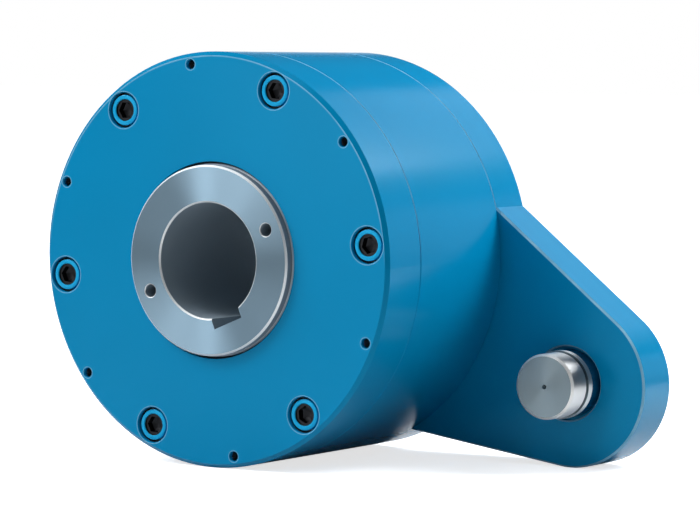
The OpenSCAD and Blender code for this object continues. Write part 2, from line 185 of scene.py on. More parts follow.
@dataclass(frozen=True)
class Finish(ABC):
    """A surface finish: what it is called, its own colour and how rough it is."""

    name: str
    colour: str
    roughness: float

    @abstractmethod
    def shader(self, tree: NodeTree) -> Feed:
        """Builds the surface.

        Args:
            tree: The material's tree.

        Returns:
            The output of its last shader.
        """

    def material(self) -> Material:
        """Makes the material of this finish.

        Returns:
            The material, with its nodes.
        """
        made = bpy.data.materials.new(self.name)
        made.diffuse_color = linear(self.colour)
        tree = empty_tree(made)
        add_node(tree, "ShaderNodeOutputMaterial", {"Surface": self.shader(tree)})
        return made

    @staticmethod
    def place(tree: NodeTree) -> Feed:
        """Gives the place on the piece, in metres."""
        return add_node(tree, "ShaderNodeTexCoord").outputs["Object"]

    @classmethod
    def mottle(cls, tree: NodeTree, size_mm: float, detail: float = 2.0,
               where: Feed | None = None) -> Feed:
        """Gives an even noise from 0 to 1.

        Args:
            tree: The material's tree.
            size_mm: The width of its largest spots.
            detail: How many finer layers lie on them.
            where: The point that it is read at, where that isn't the place on the piece.

        Returns:
            The noise's value.
        """
        point = cls.place(tree) if where is None else where
        return add_node(tree, "ShaderNodeTexNoise",
                        {"Vector": point, "Scale": 1 / (size_mm * MM), "Detail": detail})

    @staticmethod
    def between(tree: NodeTree, value: Feed, low: float, high: float) -> Feed:
        """Maps a value from 0 to 1 onto the span from low to high."""
        return add_node(tree, MAP_RANGE, {"Value": value, "To Min": low, "To Max": high})

    @classmethod
    def radius(cls, tree: NodeTree, axis: tuple[float, float] = (0.0, 0.0)) -> tuple[Feed, Feed]:
        """Measures from an axis that runs along Y.

        Args:
            tree: The material's tree.
            axis: The axis's X and Z.

        Returns:
            The distance from the axis, and the way outwards from it.
        """
        centred = add_node(tree, VECTOR_MATH, {0: cls.place(tree), 1: (axis[0], 0.0, axis[1])},
                           operation="SUBTRACT")
        flat = add_node(tree, VECTOR_MATH, {0: centred, 1: (1.0, 0.0, 1.0)}, operation="MULTIPLY")
        length = add_node(tree, VECTOR_MATH, {0: flat}, operation="LENGTH").outputs["Value"]
        outwards = add_node(tree, VECTOR_MATH, {0: flat}, operation="NORMALIZE")
        return length, outwards

    @staticmethod
    def over(tree: NodeTree, value: Feed, limit: float) -> Feed:
        """Gives 1 where a value is over a limit, and else 0."""
        return add_node(tree, MATH, {0: value, 1: limit}, operation="GREATER_THAN")

    @staticmethod
    def lean(tree: NodeTree) -> Feed:
        """Tells how far the surface leans towards the shaft's ends.

        Args:
            tree: The material's tree.

        Returns:
            1 on faces square to the shaft, 0 on its sides, and values between on broken edges.
        """
        facing = add_node(tree, "ShaderNodeNewGeometry").outputs["True Normal"]
        along = add_node(tree, SEPARATE, {0: facing}).outputs["Y"]
        return add_node(tree, MATH, {0: along}, operation="ABSOLUTE")

    @classmethod
    def depth(cls, tree: NodeTree) -> Feed:
        """Gives the distance along the shaft behind the middle of the housing."""
        return add_node(tree, SEPARATE, {0: cls.place(tree)}).outputs["Y"]


@dataclass(frozen=True)
class Grained(Finish):
    """A surface whose polish varies in patches, with the fine grain that its making left."""

    patch_mm: float = 6.0
    smoothest: float = 0.75
    roughest: float = 1.25
    grain_mm: float = 0.8
    grain_um: float = 8.0
    metallic: float = 1.0
    glow: float = 0.0

    def shader(self, tree: NodeTree) -> Feed:
        """Varies the polish by patches, and roughens the surface by its grain.

        Args:
            tree: The material's tree.

        Returns:
            The shader's output.
        """
        rough = self.between(tree, self.mottle(tree, self.patch_mm),
                             self.roughness * self.smoothest, self.roughness * self.roughest)
        bump = add_node(tree, BUMP, {"Height": self.mottle(tree, self.grain_mm),
                                     "Distance": self.grain_um * UM, "Strength": 1.0})
        return add_node(tree, PRINCIPLED,
                        {"Base Color": linear(self.colour), "Metallic": self.metallic,
                         "Roughness": rough, "Subsurface Weight": self.glow,
                         "Subsurface Scale": 1 * MM, "Normal": bump})


@dataclass(frozen=True)
class WorkedSteel(Grained):
    """Hardened, rolled or drawn steel, which the eye knows by soft and slightly cloudy highlights."""


@dataclass(frozen=True)
class Moulded(Grained):
    """Moulded rubber or polyamide, which the mould's fine grain makes dull and even."""

    patch_mm: float = 5.0
    smoothest: float = 0.85
    roughest: float = 1.1
    grain_mm: float = 0.6
    grain_um: float = 10.0
    metallic: float = 0.0


@dataclass(frozen=True)
class TurnedSteel(Finish):
    """Steel faced and turned about an axis along Y.

    The tool leaves rings on a face and round a side, so light draws out across them: in rays from
    the centre on a face, and along the axis on a side. The rings are finer than a pixel, so only
    coarser ones are drawn, as a change of polish.
    """

    axis: tuple[float, float] = (0.0, 0.0)
    stretch: float = 1.0
    ring_mm: float = 1.6
    ring_change: float = 0.04

    def shader(self, tree: NodeTree) -> Feed:
        """Builds the turned steel in its own colour."""
        return self.turned(tree, self.colour, self.roughness, self.stretch)

    def turned(self, tree: NodeTree, colour: str, roughness: float, stretch: float,
               metallic: float = 1.0) -> Feed:
        """Stretches the highlights across the tool's rings, and draws the coarser rings.

        Args:
            tree: The material's tree.
            colour: The steel's colour.
            roughness: How rough the cut is.
            stretch: How far highlights are drawn out across the rings.
            metallic: How bare the steel is; a film of oil or grease makes it less.

        Returns:
            The shader's output.
        """
        length, outwards = self.radius(tree, self.axis)
        rings_at = add_node(tree, COMBINE, {"X": length, "Y": self.depth(tree)})
        rings = self.mottle(tree, self.ring_mm, 1.0, rings_at)
        rough = self.between(tree, rings, roughness * (1 - self.ring_change),
                             roughness * (1 + self.ring_change))
        return add_node(tree, PRINCIPLED,
                        {"Base Color": linear(colour), "Metallic": metallic, "Roughness": rough,
                         "Anisotropic": stretch, "Tangent": self.across_rings(tree, outwards)})

    def across_rings(self, tree: NodeTree, outwards: Feed) -> Feed:
        """Gives the way across the tool's rings: outwards on a face, along the axis on a side.

        Args:
            tree: The material's tree.
            outwards: The way outwards from the axis.

        Returns:
            The way, in the world's axes.
        """
        in_world = add_node(tree, "ShaderNodeVectorTransform", {0: outwards}, vector_type="VECTOR",
                            convert_from="OBJECT", convert_to="WORLD")
        on_face = self.over(tree, self.lean(tree), SIDE_LEAN)
        way = add_node(tree, MIX, {"Factor_Float": on_face, "A_Vector": (0.0, 1.0, 0.0),
                                   "B_Vector": in_world}, data_type="VECTOR")
        return output(way, "Result_Vector")


@dataclass(frozen=True)
class FacedSteel(TurnedSteel):
    """Turned steel whose end faces were cut in another way than its sides.

    Its broken edges are pale and half metallic, so they stand out as pale lines from every side: a
    painted highlight. The drilled mark in the middle of a pin's end keeps the finish of the face.
    """

    face: str = "#7E97A8"
    face_roughness: float = 0.28
    face_stretch: float = 1.0
    side_bare: float = 1.0
    # The pale colour of the broken edges: a painted highlight.
    edge: str = "#E6EBEE"
    edge_roughness: float = 0.45
    edge_bare: float = 0.5
    centre_mark_mm: float = 4.0

    def shader(self, tree: NodeTree) -> Feed:
        """Gives the sides, the end faces and the edges between them a cut of their own.

        Args:
            tree: The material's tree.

        Returns:
            The shader's output.
        """
        lean = self.lean(tree)
        side = self.turned(tree, self.colour, self.roughness, self.stretch, self.side_bare)
        face = self.turned(tree, self.face, self.face_roughness, self.face_stretch)
        # The pale, half-metal edge is a painted highlight.
        edge = add_node(tree, PRINCIPLED,
                        {"Base Color": linear(self.edge), "Metallic": self.edge_bare,
                         "Roughness": self.edge_roughness})
        from_axis, _ = self.radius(tree, self.axis)
        in_mark = add_node(tree, MATH, {0: from_axis, 1: self.centre_mark_mm * MM},
                           operation="LESS_THAN")
        on_face = add_node(tree, MATH, {0: self.over(tree, lean, FACE_LEAN), 1: in_mark},
                           operation="MAXIMUM")
        outside = add_node(tree, MIX_SHADER, {0: self.over(tree, lean, EDGE_LEAN), 1: side, 2: edge})
        return add_node(tree, MIX_SHADER, {0: on_face, 1: outside, 2: face})


@dataclass(frozen=True)
class Enamel(Finish):
    """Two-coat machine enamel, sprayed on machined steel.

    To the eye it is a deep, even blue whose gloss is softened by a fine orange peel. Its highlights
    are tinted, so it stays blue where lamps show in it.
    """

    peel_mm: float = 1.5
    peel_um: float = 26.0
    drift_mm: float = 60.0
    drift_change: float = 0.06
    sheen: str = "#60C8F0"

    def shader(self, tree: NodeTree) -> Feed:
        """Builds the enamel in its own colour."""
        return self.coat_of_paint(tree, self.blue(tree))

    def blue(self, tree: NodeTree) -> Feed:
        """Gives the enamel's own colour, which drifts a little over the piece.

        Args:
            tree: The material's tree.

        Returns:
            The colour at each point.
        """
        drift = self.mottle(tree, self.drift_mm, 1.0)
        value = self.between(tree, drift, 1 - self.drift_change, 1 + self.drift_change)
        return add_node(tree, "ShaderNodeHueSaturation", {"Color": linear(self.colour), "Value": value})

    def two_blues(self, tree: NodeTree, share: Feed, other: str) -> Feed:
        """Builds the enamel's shader in its own colour, or in another by a share from 0 to 1."""
        colour = add_node(tree, MIX, {"Factor_Float": share, "A_Color": self.blue(tree),
                                      "B_Color": linear(other)}, data_type="RGBA")
        return self.coat_of_paint(tree, output(colour, "Result_Color"))

    def coat_of_paint(self, tree: NodeTree, colour: Feed) -> Feed:
        """Builds the enamel's shader.

        Args:
            tree: The material's tree.
            colour: The colour of the paint there.

        Returns:
            The shader's output.
        """
        bump = add_node(tree, BUMP,
                        {"Height": self.mottle(tree, self.peel_mm, 3.0),
                         "Distance": self.peel_um * UM, "Strength": 1.0})
        return add_node(tree, PRINCIPLED,
                        {"Base Color": colour, "Roughness": self.roughness,
                         "Specular Tint": linear(self.sheen), "Normal": bump})


@dataclass(frozen=True)
class HoleRow:
    """Like holes in the end faces, evenly round the shaft."""

    count: int
    circle: float
    first_clock: float
    radius: float
    only_in_front: bool = False


@dataclass(frozen=True)
class EnamelledHousing(Enamel):
    """Enamel outside and bare machined steel inside, because the housing is painted once it is closed.

    Threads show as rings along the walls of its small holes. The paint is paler, in mottled patches,
    on the narrow broken edges, along the front chamfer and round the mouths of the holes: partly
    rubbed paint, partly a painted highlight. Only the upper half and the arm get the pale lines,
    where lamps catch the edges, so there they are a painted highlight.
    """

    steel: str = "#8E9499"
    steel_roughness: float = 0.4
    # Paler blue for rubbed paint and for the painted highlight along edges.
    worn_and_highlit_blue: str = "#A9D9F0"
    rim_radius: float = 107.5 * MM
    end: float = 70 * MM
    rim_band_mm: float = 1.5
    end_band_mm: float = 2.5
    chamfer_mm: float = 2.0
    chamfer_line_mm: float = 0.9
    arm_from_mm: float = 2.0
    # Edges above this height, and on the arm, get the pale lines: a painted highlight.
    highlit_from_mm: float = 40.0
    rubbed_patch_mm: float = 14.0
    least_rubbed: float = 0.2
    mouth_line_mm: tuple[float, float] = (0.3, 0.9)
    # How pale the rings round the holes' mouths are: a painted highlight with rubbed paint.
    mouth_paleness: float = 0.7
    thread_mm: float = 1.0
    thread_depth_mm: float = 0.05
    thread_strength: float = 0.6
    holes: tuple[HoleRow, ...] = ()

    def shader(self, tree: NodeTree) -> Feed:
        """Paints the rim and the end faces, and leaves the rest bare.

        Args:
            tree: The material's tree.

        Returns:
            The shader's output.
        """
        length, _ = self.radius(tree)
        on_rim = self.over(tree, length, self.rim_radius - self.rim_band_mm * MM)
        from_middle = add_node(tree, MATH, {0: self.depth(tree)}, operation="ABSOLUTE")
        on_end = self.over(tree, from_middle, self.end - self.end_band_mm * MM)
        painted = add_node(tree, MATH, {0: on_rim, 1: on_end}, operation="MAXIMUM")
        # Paler blue where paint is rubbed, and as a painted highlight along edges.
        paint = self.two_blues(tree, self.worn_and_highlit(tree, length), self.worn_and_highlit_blue)
        return add_node(tree, MIX_SHADER, {0: painted, 1: self.bare(tree), 2: paint})

    def worn_and_highlit(self, tree: NodeTree, length: Feed) -> Feed:
        """Tells how far the paint is paler: rubbed paint, and a painted highlight along edges and mouths.

        Args:
            tree: The material's tree.
            length: The distance from the shaft's axis.

        Returns:
            A share from 0 to 1.
        """
        lean = self.lean(tree)
        on_face = self.over(tree, lean, FACE_LEAN)
        on_edge = add_node(tree, MATH, {0: self.over(tree, lean, EDGE_LEAN), 1: on_face},
                           operation="SUBTRACT")
        spot = add_node(tree, SEPARATE, {0: self.place(tree)})
        past_front = self.over(tree, spot.outputs["Y"], self.end_band_mm * MM - self.end)
        on_front = add_node(tree, MATH, {0: on_face, 1: past_front}, operation="SUBTRACT")
        seams = add_node(tree, MATH, {0: on_edge, 1: past_front}, operation="MULTIPLY")
        chamfer_from = self.rim_radius - self.chamfer_mm * MM
        by_chamfer = add_node(tree, MAP_RANGE,
                              {"Value": length, "From Min": chamfer_from - self.chamfer_line_mm * MM,
                               "From Max": chamfer_from})
        chamfer_line = add_node(tree, MATH, {0: on_front, 1: by_chamfer}, operation="MULTIPLY")
        lines = add_node(tree, MATH, {0: seams, 1: chamfer_line}, operation="MAXIMUM")
        # Only the upper half and the arm get the pale lines, where lamps catch the edges: a painted
        # highlight.
        upper = add_node(tree, MAP_RANGE,
                         {"Value": spot.outputs["Z"], "From Max": self.highlit_from_mm * MM})
        on_arm = self.over(tree, length, self.rim_radius + self.arm_from_mm * MM)
        highlit_part = add_node(tree, MATH, {0: upper, 1: on_arm}, operation="MAXIMUM")
        patches = self.mottle(tree, self.rubbed_patch_mm)
        worn_and_highlit = self.between(tree, patches, self.least_rubbed, 1.0)
        for share in (lines, highlit_part):
            worn_and_highlit = add_node(tree, MATH, {0: worn_and_highlit, 1: share}, operation="MULTIPLY")
        for row in self.holes:
            faces = on_front if row.only_in_front else on_face
            mouth = add_node(tree, MATH, {0: self.mouth(tree, spot, length, row), 1: faces},
                             operation="MULTIPLY")
            worn_and_highlit = add_node(tree, MATH, {0: worn_and_highlit, 1: mouth}, operation="MAXIMUM")
        return worn_and_highlit

    def mouth(self, tree: NodeTree, spot: Node, length: Feed, row: HoleRow) -> Feed:
        """Draws a narrow ring round each hole of a row.

        Args:
            tree: The material's tree.
            spot: The point's coordinates.
            length: Its distance from the shaft's axis.
            row: The row of holes.

        Returns:
            A share that falls to 0 beside the hole.
        """
        clock = add_node(tree, MATH, {0: spot.outputs["X"], 1: spot.outputs["Z"]}, operation="ARCTAN2")
        from_first = add_node(tree, MATH, {0: clock, 1: math.radians(row.first_clock)},
                              operation="SUBTRACT")
        half_step = math.pi / row.count
        beside = add_node(tree, MATH, {0: from_first, 1: half_step, 2: -half_step}, operation="WRAP")
        cosine = add_node(tree, MATH, {0: beside}, operation="COSINE")
        across = add_node(tree, MATH, {0: cosine, 1: -2 * row.circle, 2: length},
                          operation="MULTIPLY_ADD")
        squared = add_node(tree, MATH, {0: across, 1: length, 2: row.circle ** 2},
                           operation="MULTIPLY_ADD")
        away = add_node(tree, MATH, {0: squared}, operation="SQRT")
        full, none = (row.radius + reach * MM for reach in self.mouth_line_mm)
        return add_node(tree, MAP_RANGE,
                        {"Value": away, "From Min": full, "From Max": none,
                         "To Min": self.mouth_paleness, "To Max": 0.0})

    def bare(self, tree: NodeTree) -> Feed:
        """Builds the machined steel under the paint.

        Args:
            tree: The material's tree.

        Returns:
            The shader's output.
        """
        turns = add_node(tree, MATH,
                         {0: self.depth(tree), 1: math.tau / (self.thread_mm * MM)},
                         operation="MULTIPLY")
        wave = add_node(tree, MATH, {0: turns}, operation="SINE")
        bump = add_node(tree, BUMP, {"Height": wave, "Distance": self.thread_depth_mm * MM,
                                     "Strength": self.thread_strength})
        return add_node(tree, PRINCIPLED,
                        {"Base Color": linear(self.steel), "Metallic": 1.0,
                         "Roughness": self.steel_roughness, "Normal": bump})


@dataclass(frozen=True)
class PaintedPin(Enamel):
    """A bright turned pin whose root was sprayed together with the arm that holds it.

    The root is a darker blue than the arm: painted shade. The pin's rear end is painted as the arm is.
    """

    steel: FacedSteel | None = None
    painted_from: float = 36.2 * MM
    ragged_mm: float = 0.8
    ragged_patch_mm: float = 3.0
    rear: str = "#0085B8"
    rear_from: float = 50 * MM

    def shader(self, tree: NodeTree) -> Feed:
        """Leaves the pin bare in front, and paints it from its root backwards.

        Args:
            tree: The material's tree.

        Returns:
            The shader's output.
        """
        depth = self.depth(tree)
        ragged = add_node(tree, MATH,
                          {0: self.mottle(tree, self.ragged_patch_mm), 1: self.ragged_mm * MM,
                           2: depth}, operation="MULTIPLY_ADD")
        painted = self.over(tree, ragged, self.painted_from + self.ragged_mm * MM / 2)
        paint = self.two_blues(tree, self.over(tree, depth, self.rear_from), self.rear)
        return add_node(tree, MIX_SHADER, {0: painted, 1: self.steel.shader(tree), 2: paint})


def grow(tree: NodeTree, name: str, inputs: dict[str, object]) -> Object:
    """Runs a geometry tree once and keeps its result as a plain mesh.

    Args:
        tree: The tree, whose inputs have names of their own.
        name: The piece's name.
        inputs: The value of each named input.

    Returns:
        The piece, without a modifier.
    """
    piece = put_in_scene(bpy.data.meshes.new(name), name)
    modifier = piece.modifiers.new("build", "NODES")
    modifier.node_group = tree
    sockets = {item.name: item for item in tree.interface.items_tree if item.in_out == "INPUT"}
    for label, value in inputs.items():
        modifier[sockets[label].identifier] = value
    graph = bpy.context.evaluated_depsgraph_get()
    mesh = bpy.data.meshes.new_from_object(piece.evaluated_get(graph), depsgraph=graph)
    piece.modifiers.remove(modifier)
    piece.data = mesh
    mesh.name = name
    return piece


def start_tree(name: str, inputs: dict[str, str]) -> tuple[NodeTree, dict[str, NodeSocket]]:
    """Starts a geometry tree with named inputs and one geometry output.

    Args:
        name: The tree's name.
        inputs: For each input's name, its socket type.

    Returns:
        The tree, and the inputs' sockets inside it.
    """
    tree = bpy.data.node_groups.new(name, "GeometryNodeTree")
    for label, kind in inputs.items():
        tree.interface.new_socket(name=label, in_out="INPUT", socket_type=kind)
    tree.interface.new_socket(name="Geometry", in_out="OUTPUT", socket_type="NodeSocketGeometry")
    entry = add_node(tree, "NodeGroupInput")
    return tree, {label: entry.outputs[label] for label in inputs}


def end_tree(tree: NodeTree, geometry: Feed, material: Feed) -> None:
    """Ends a geometry tree: makes its copies real, and gives them their material.

    Args:
        tree: The tree.
        geometry: The last of its geometry.
        material: What it is made of.
    """
    real = add_node(tree, "GeometryNodeRealizeInstances", {0: geometry})
    dressed = add_node(tree, "GeometryNodeSetMaterial", {"Geometry": real, "Material": material})
    add_node(tree, "NodeGroupOutput", {0: dressed})


@dataclass
class CapScrews:
    """Rows of socket head cap screws, sunk in counterbores round the housing's two ends."""

    count: int = 6
    circle: float = 95.425 * MM
    first_clock: float = 83.235
    thread: float = 10 * MM
    pitch: float = 1.5 * MM
    length: float = 35 * MM
    head: float = 16 * MM
    head_height: float = 10 * MM
    chamfer: float = 0.5 * MM
    across_flats: float = 8 * MM
    socket_depth: float = 5 * MM
    mouth: float = 12.2 * MM
    mouth_depth: float = 1.25 * MM
    plain_shank: float = 10 * MM
    drill_cone: float = 1.2 * MM
    painted_depth: float = 3 * MM
    smooth_angle: float = 32.0
    around: int = 48
    steps_in_pitch: int = 4
    seed: int = 7

    def round_ring(self, radius: float, depth: float) -> list[Vector]:
        """Gives a round ring of points about Y at a depth under the head's top."""
        steps = [math.tau * i / self.around for i in range(self.around)]
        return [Vector((radius * math.sin(a), depth, radius * math.cos(a))) for a in steps]

    def hexagon_ring(self, flats: float, depth: float) -> list[Vector]:
        """Gives a hexagonal ring of points about Y, at the angles of the round rings.

        Args:
            flats: The width across its flats.
            depth: How deep it lies under the head's top.

        Returns:
            The ring's points.
        """
        ring = []
        for i in range(self.around):
            a = math.tau * i / self.around
            from_flat = (a + math.pi / 6) % (math.pi / 3) - math.pi / 6
            reach = flats / 2 / math.cos(from_flat)
            ring.append(Vector((reach * math.sin(a), depth, reach * math.cos(a))))
        return ring

    def thread_ring(self, depth: float) -> list[Vector]:
        """Gives a ring across the thread, whose crest climbs one pitch in each turn.

        Args:
            depth: How deep it lies under the head's top.

        Returns:
            The ring's points.
        """
        thread_depth = 0.613 * self.pitch
        root = self.thread / 2 - thread_depth
        ring = []
        for i in range(self.around):
            share = i / self.around
            phase = (depth / self.pitch - share) % 1.0
            reach = root + thread_depth * (1 - abs(2 * phase - 1))
            a = math.tau * share
            ring.append(Vector((reach * math.sin(a), depth, reach * math.cos(a))))
        return ring

    def blank(self) -> Object:
        """Builds one screw along +Y from its head's top, with the painted share of each face.

        Returns:
            The screw, which the geometry tree copies.
        """
        plain = self.head_height + self.plain_shank
        tip = self.head_height + self.length
        head, bevel = self.head / 2, self.chamfer * 0.3
        mouth, lip = self.mouth / 2, self.chamfer * 0.8
        narrow_tip = self.thread * 0.4
        socket = ((self.across_flats / 2, self.socket_depth + self.drill_cone),
                  (self.across_flats, self.socket_depth), (self.across_flats, self.mouth_depth))
        outside = ((mouth - lip, self.mouth_depth, 0.0), (mouth - lip, lip, 0.0), (mouth, 0.0, 1.0),
                   (head - self.chamfer, 0.0, 1.0), (head - bevel, bevel, 1.0),
                   (head, self.chamfer, 1.0), (head, self.painted_depth, 1.0),
                   (head, self.head_height, 0.0), (self.thread / 2, self.head_height, 0.0),
                   (self.thread / 2, plain, 0.0))
        rings = [(self.hexagon_ring(flats, depth), 0.0) for flats, depth in socket]
        rings += [(self.round_ring(radius, depth), share) for radius, depth, share in outside]
        step = self.pitch / self.steps_in_pitch
        steps = round((tip - plain) / step) - 2
        rings += [(self.thread_ring(plain + (i + 1) * step), 0.0) for i in range(steps)]
        rings.append((self.round_ring(narrow_tip, tip), 0.0))
        return self.skin(rings, "cap_screw_blank")

    def skin(self, rings: list[tuple[list[Vector], float]], name: str) -> Object:
        """Joins rings of points to a closed skin.

        Args:
            rings: Each ring's points, and the painted share of the faces behind it.
            name: The object's name.

        Returns:
            The object, with the painted share as a face attribute.
        """
        bm = bmesh.new()
        paint = bm.faces.layers.float.new(PAINTED)
        loops = [[bm.verts.new(point) for point in ring] for ring, _ in rings]
        for (_, share), near, far in zip(rings[1:], loops, loops[1:]):
            for i in range(self.around):
                j = (i + 1) % self.around
                bm.faces.new((near[i], near[j], far[j], far[i]))[paint] = share
        bm.faces.new(loops[0])
        bm.faces.new(loops[-1])
        bmesh.ops.recalc_face_normals(bm, faces=bm.faces)
        mesh = bpy.data.meshes.new(name)
        bm.to_mesh(mesh)
        bm.free()
        return put_in_scene(mesh, name)

    def tree(self) -> NodeTree:
        """Builds the tree that sets copies of a screw in a ring, each turned as it was tightened.

        Returns:
            The tree.
        """
        tree, given = start_tree("screws_in_a_ring", {
            "Screw": "NodeSocketObject", "Count": "NodeSocketInt", "Circle": "NodeSocketFloat",
            "First angle": "NodeSocketFloat", "Depth": "NodeSocketFloat", "Facing": "NodeSocketFloat",
            "Seed": "NodeSocketInt", "Material": "NodeSocketMaterial"})
        index = add_node(tree, "GeometryNodeInputIndex")
        share = add_node(tree, MATH, {0: index, 1: given["Count"]}, operation="DIVIDE")
        angle = add_node(tree, MATH, {0: share, 1: math.tau, 2: given["First angle"]},
                         operation="MULTIPLY_ADD")
        sine, cosine = (add_node(tree, MATH, {0: angle}, operation=wave) for wave in ("SINE", "COSINE"))
        side, up = (add_node(tree, MATH, {0: share, 1: given["Circle"]},
                             operation="MULTIPLY") for share in (sine, cosine))
        place = add_node(tree, COMBINE, {"X": side, "Y": given["Depth"], "Z": up})
        points = add_node(tree, "GeometryNodePoints", {"Count": given["Count"], "Position": place})
        random = add_node(tree, "FunctionNodeRandomValue",
                          {"Min_001": 0.0, "Max_001": math.pi / 3, "Seed": given["Seed"]})
        tightened = output(random, "Value_001")
        euler = add_node(tree, COMBINE, {"Y": tightened, "Z": given["Facing"]})
        turn = add_node(tree, "FunctionNodeEulerToRotation", {0: euler})
        screw = add_node(tree, "GeometryNodeObjectInfo", {"Object": given["Screw"]}).outputs["Geometry"]
        copies = add_node(tree, "GeometryNodeInstanceOnPoints",
                          {"Points": points, "Instance": screw, "Rotation": turn})
        end_tree(tree, copies, given["Material"])
        return tree

    def build(self, finish: Finish) -> None:
        """Sets both rows of screws, and lets them stand for the CAD's.

        Args:
            finish: The finish of the heads and shanks.
        """
        blank = self.blank()
        tree = self.tree()
        material = finish.material()
        rows = {"front_cover_screws": (Facing.FRONT, 0), "torque_arm_screws": (Facing.REAR, 1)}
        for node, (facing, end) in rows.items():
            row = grow(tree, node + "_row", {
                "Screw": blank, "Count": self.count, "Circle": self.circle,
                "First angle": math.radians(self.first_clock), "Depth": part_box(node)[end].y,
                "Facing": facing.value, "Seed": self.seed + end, "Material": material})
            row.data.polygons.foreach_set("use_smooth", [True] * len(row.data.polygons))
            row.data.set_sharp_from_angle(angle=math.radians(self.smooth_angle))
            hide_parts(node)
            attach(row, "housing")
            LOG.info("%s: %d screws, %d faces", row.name, self.count, len(row.data.polygons))
        bpy.data.objects.remove(blank)


@dataclass(frozen=True)
class ScrewEnamel(Enamel):
    """Enamel on the outside of a screw's head, and black oxide in its socket and on its shank."""

    oxide: str = "#26282C"
    oxide_bare: float = 0.8
    oxide_patch_mm: float = 2.0
    smoothest: float = 0.25
    roughest: float = 0.4

    def shader(self, tree: NodeTree) -> Feed:
        """Paints what the piece's own attribute names, and leaves the rest black.

        Args:
            tree: The material's tree.

        Returns:
            The shader's output.
        """
        share = add_node(tree, "ShaderNodeAttribute", attribute_name=PAINTED).outputs["Fac"]
        rough = self.between(tree, self.mottle(tree, self.oxide_patch_mm), self.smoothest,
                             self.roughest)
        black = add_node(tree, PRINCIPLED,
                         {"Base Color": linear(self.oxide), "Metallic": self.oxide_bare,
                          "Roughness": rough})
        return add_node(tree, MIX_SHADER, {0: share, 1: black, 2: super().shader(tree)})


@dataclass
class CoilSprings:
    """Ring-shaped coil springs: two in the seals, and two that hold the sprags to the tracks."""

    steps: int = 9
    wire_sides: int = 5
    wire_share: float = 0.11
    nodes: dict[str, float] = field(default_factory=lambda: {
        "front_seal_spring": 0.9 * MM, "rear_seal_spring": 0.9 * MM,
        "front_energising_spring": 1.1 * MM, "rear_energising_spring": 1.1 * MM})

    def tree(self) -> NodeTree:
        """Builds the tree that winds a wire round a circle about the shaft.

        Returns:
            The tree.
        """
        tree, given = start_tree("coil_round_a_ring", {
            "Ring radius": "NodeSocketFloat", "Coil radius": "NodeSocketFloat",
            "Wire radius": "NodeSocketFloat", "Turns": "NodeSocketInt", "Steps": "NodeSocketInt",
            "Wire sides": "NodeSocketInt", "Depth": "NodeSocketFloat", "Material": "NodeSocketMaterial"})
        points = add_node(tree, MATH, {0: given["Turns"], 1: given["Steps"]}, operation="MULTIPLY")
        ring = add_node(tree, "GeometryNodeCurvePrimitiveCircle",
                        {"Resolution": points, "Radius": given["Ring radius"]}, mode="RADIUS")
        index = add_node(tree, "GeometryNodeInputIndex")
        share = add_node(tree, MATH, {0: index, 1: given["Steps"]}, operation="DIVIDE")
        turn = add_node(tree, MATH, {0: share, 1: math.tau}, operation="MULTIPLY")
        sine, cosine = (add_node(tree, MATH, {0: turn}, operation=wave) for wave in ("SINE", "COSINE"))
        point = add_node(tree, "GeometryNodeInputPosition")
        outwards = add_node(tree, VECTOR_MATH, {0: point}, operation="NORMALIZE")
        across = add_node(tree, VECTOR_MATH, {0: outwards, "Scale": cosine}, operation="SCALE")
        along = add_node(tree, COMBINE, {"Z": sine})
        way = add_node(tree, VECTOR_MATH, {0: across, 1: along}, operation="ADD")
        offset = add_node(tree, VECTOR_MATH, {0: way, "Scale": given["Coil radius"]}, operation="SCALE")
        helix = add_node(tree, "GeometryNodeSetPosition", {"Geometry": ring, "Offset": offset})
        section = add_node(tree, "GeometryNodeCurvePrimitiveCircle",
                           {"Resolution": given["Wire sides"], "Radius": given["Wire radius"]},
                           mode="RADIUS")
        wire = add_node(tree, "GeometryNodeCurveToMesh", {"Curve": helix, "Profile Curve": section})
        shift = add_node(tree, COMBINE, {"Y": given["Depth"]})
        stood = add_node(tree, "GeometryNodeTransform",
                         {"Geometry": wire, "Translation": shift,
                          "Rotation": (math.pi / 2, 0.0, 0.0)})
        end_tree(tree, stood, given["Material"])
        return tree

    def build(self, finish: Finish, bodies: dict[str, str]) -> None:
        """Winds the four springs, and lets them stand for the CAD's plain rings.

        Args:
            finish: The finish of the wire.
            bodies: The body that each CAD node rides on.
        """
        tree = self.tree()
        material = finish.material()
        for node, pitch in self.nodes.items():
            low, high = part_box(node)
            section = high.y - low.y
            ring = high.x - section / 2
            wire = section * self.wire_share
            piece = grow(tree, node + "_coil", {
                "Ring radius": ring, "Coil radius": section / 2 - wire, "Wire radius": wire,
                "Turns": round(math.tau * ring / pitch), "Steps": self.steps,
                "Wire sides": self.wire_sides, "Depth": (low.y + high.y) / 2, "Material": material})
            piece.data.polygons.foreach_set("use_smooth", [True] * len(piece.data.polygons))
            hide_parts(node)
            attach(piece, bodies[node])
            LOG.info("%s: %d faces", piece.name, len(piece.data.polygons))


@dataclass(frozen=True)
class Softbox:
    """A flat lamp at a distance from the object, aimed at its middle.

    The azimuth is counted from the front towards the right, and the elevation upwards, in degrees.
    """

    name: str
    azimuth: float
    elevation: float
    watts: float
    width: float = 1.0
    height: float = 1.0
    distance: float = 2.2
    in_gloss: bool = True

    def place(self) -> Vector:
        """Gives the place of the lamp's middle.

        Returns:
            The place, in metres.
        """
        azimuth, elevation = math.radians(self.azimuth), math.radians(self.elevation)
        level = self.distance * math.cos(elevation)
        return Vector((level * math.sin(azimuth), -level * math.cos(azimuth),
                       self.distance * math.sin(elevation)))

    def hang(self) -> None:
        """Adds the lamp to the scene."""
        data = bpy.data.lights.new(self.name, "AREA")
        data.shape = "RECTANGLE"
        data.size = self.width
        data.size_y = self.height
        data.energy = self.watts
        lamp = put_in_scene(data, self.name)
        lamp.visible_glossy = self.in_gloss
        lamp.location = self.place()
        lamp.rotation_euler = (-self.place()).to_track_quat("-Z", "Y").to_euler()


